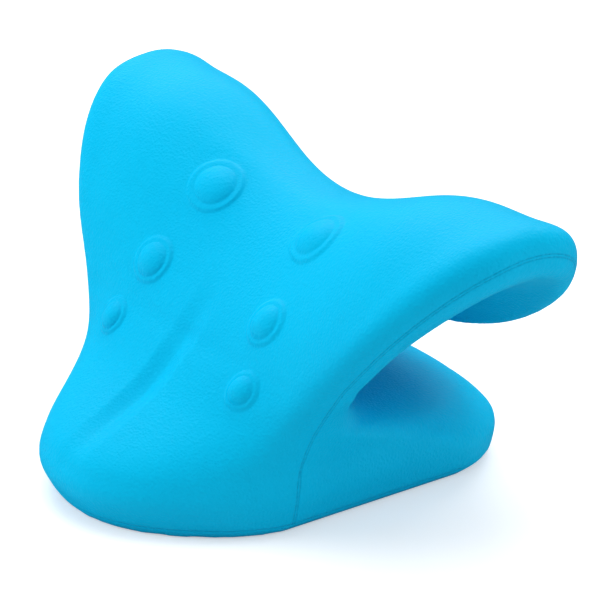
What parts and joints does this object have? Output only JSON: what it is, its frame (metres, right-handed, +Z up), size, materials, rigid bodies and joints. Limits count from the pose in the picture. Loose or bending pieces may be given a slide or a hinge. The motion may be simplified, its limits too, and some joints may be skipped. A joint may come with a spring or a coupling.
{
  "type": "cervical traction cushion",
  "caption": "Free-standing C-shaped foam cushion with a winged neck cradle over an open gap, raised round pressure nodes on its sloping front and a flat foot.",
  "frame": {"origin": "on the floor, under the middle of the bounding box", "axes": "+Z up, +X to the user's right across the wings, +Y from the toe (shoulder side) to the heel (head side)"},
  "size_m": [0.2564, 0.1826, 0.1278],
  "materials": {
    "foam_skin": "matt closed-cell skin with a fine leather-like grain, saturated sky blue",
    "foam_core": "open-cell flexible polyurethane foam, sealed inside the skin"
  },
  "bodies": {
    "foot": {"sole": "foam_skin", "base_front_skin": "foam_skin", "base_back_skin": "foam_skin", "base_core": "foam_core", "small_node_left": "foam_skin", "small_node_right": "foam_skin"},
    "cradle": {"cradle_front_skin": "foam_skin", "cradle_back_skin": "foam_skin", "cradle_core": "foam_core", "medium_node_left": "foam_skin", "medium_node_right": "foam_skin", "big_node_left": "foam_skin", "big_node_right": "foam_skin"}
  },
  "joints": [
    {"name": "cradle_flex", "type": "hinge", "parent": "foot", "child": "cradle", "pos_m": [0, 0.002, 0.0559], "axis": [-1, 0, 0], "range_deg": [0, 6], "stiffness_Nm_per_rad": 34}
  ]
}
